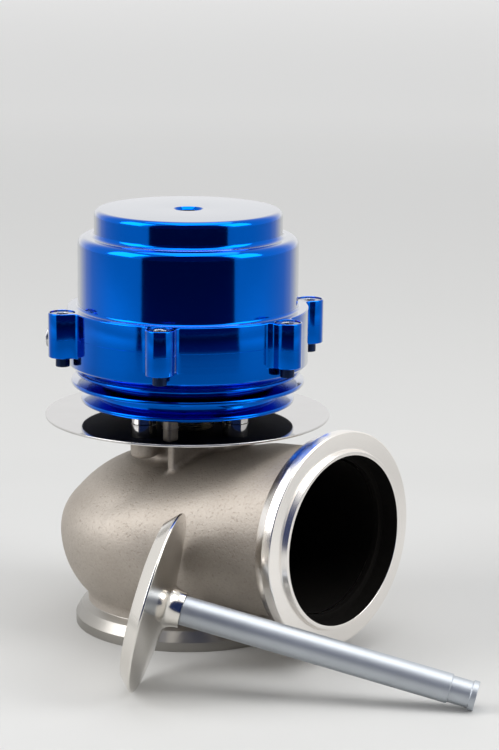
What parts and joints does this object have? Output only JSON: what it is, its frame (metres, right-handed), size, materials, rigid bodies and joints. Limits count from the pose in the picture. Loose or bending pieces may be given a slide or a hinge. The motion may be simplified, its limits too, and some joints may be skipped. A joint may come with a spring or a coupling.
{
  "type": "turbo wastegate",
  "caption": "External wastegate: spring-loaded diaphragm actuator over a cast housing with clamp flanges, its poppet valve inside and a loose valve beside it.",
  "frame": {"origin": "centre of the inlet flange's face, where the valve stem's axis meets it; the part stands on this face", "axes": "+Z along the valve stem towards the actuator, +X out of the side outlet"},
  "size_m": [0.193, 0.1444, 0.1517],
  "materials": {
    "cast_stainless": "bead-blasted stainless casting with machined flanges",
    "machined_steel": "turned stainless steel",
    "guide_bronze": "turned bronze",
    "polished_sheet": "polished stainless sheet",
    "screw_steel": "plain steel hardware",
    "blue_anodised": "glossy blue anodised, finely turned",
    "copper_washer": "soft sealing washer",
    "seal_plastic": "low-friction plastic",
    "diaphragm_rubber": "fabric-reinforced silicone",
    "plain_aluminium": "turned, plain",
    "valve_steel": "polished stainless steel",
    "stem_steel": "ground satin stem",
    "spring_steel": "coiled spring wire"
  },
  "bodies": {
    "housing": {"valve_housing": "cast_stainless", "seat_ring": "machined_steel", "stem_guide": "guide_bronze", "heat_shield": "polished_sheet", "spacer_posts": "machined_steel", "base_bolts": "screw_steel", "bolt_washers": "screw_steel", "actuator_base": "blue_anodised", "actuator_cover": "blue_anodised", "cover_screws": "screw_steel", "port_plug": "screw_steel", "plug_seal": "copper_washer", "stem_seal": "seal_plastic", "seal_washer": "screw_steel", "seal_circlip": "screw_steel", "diaphragm": "diaphragm_rubber", "outer_spring": "spring_steel", "inner_spring": "spring_steel"},
    "valve": {"valve_head": "valve_steel", "valve_stem": "stem_steel", "split_collet": "machined_steel", "collet_cap": "screw_steel", "piston_cup": "plain_aluminium", "lower_plate": "plain_aluminium", "clamp_nut": "plain_aluminium"},
    "spare_valve": {"spare_valve_head": "valve_steel", "spare_valve_stem": "stem_steel"}
  },
  "joints": [
    {"name": "valve_lift", "type": "slide", "parent": "housing", "child": "valve", "axis": [0, 0, 1], "range_m": [0, 0.014], "stiffness_N_per_m": 6000, "springref_m": -0.004, "deforming": ["outer_spring", "inner_spring", "diaphragm"]},
    {"name": "spare_valve_lift", "type": "slide", "parent": "housing", "child": "spare_valve", "axis": [0.4722, -0.5262, 0.7072], "range_m": [0, 0.08]}
  ]
}
